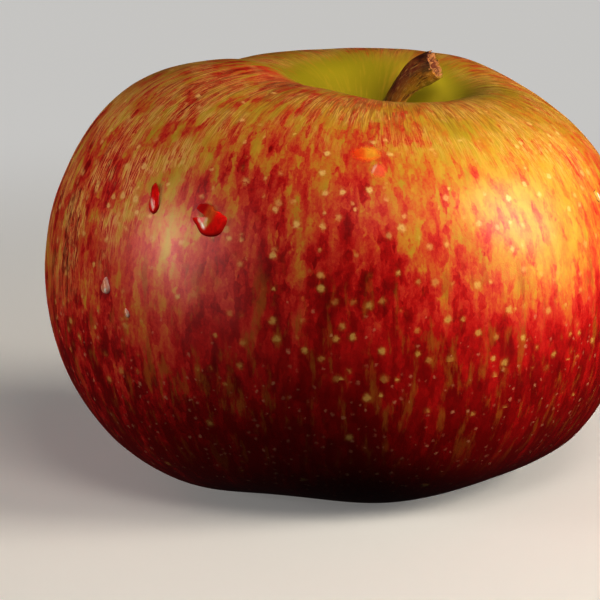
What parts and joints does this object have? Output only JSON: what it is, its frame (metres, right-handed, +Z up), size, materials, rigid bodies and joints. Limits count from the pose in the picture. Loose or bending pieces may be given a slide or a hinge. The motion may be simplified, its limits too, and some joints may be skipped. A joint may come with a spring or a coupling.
{
  "type": "apple",
  "caption": "Ripe dessert apple with a short woody stalk in an off-centre cavity and a dried flower in the eye, standing on the low lobes around the eye.",
  "frame": {"origin": "on the surface that the apple stands on, in the middle of the apple's outline seen from above", "axes": "+Z up, along the core; +X towards the side that the stalk leans to, with -Y the front of the apple"},
  "size_m": [0.0806, 0.0782, 0.0588],
  "materials": {
    "skin": "satin",
    "stalk_bark": "matte",
    "sepal_dry": "matte",
    "flower_dry": "matte"
  },
  "bodies": {
    "root": {"fruit": "skin", "stalk": "stalk_bark", "sepal_1": "sepal_dry", "sepal_2": "sepal_dry", "sepal_3": "sepal_dry", "sepal_4": "sepal_dry", "sepal_5": "sepal_dry", "style": "flower_dry", "stamen_1": "flower_dry", "stamen_2": "flower_dry", "stamen_3": "flower_dry", "stamen_4": "flower_dry", "stamen_5": "flower_dry", "stamen_6": "flower_dry", "stamen_7": "flower_dry", "stamen_8": "flower_dry", "stamen_9": "flower_dry", "stamen_10": "flower_dry"}
  },
  "joints": []
}
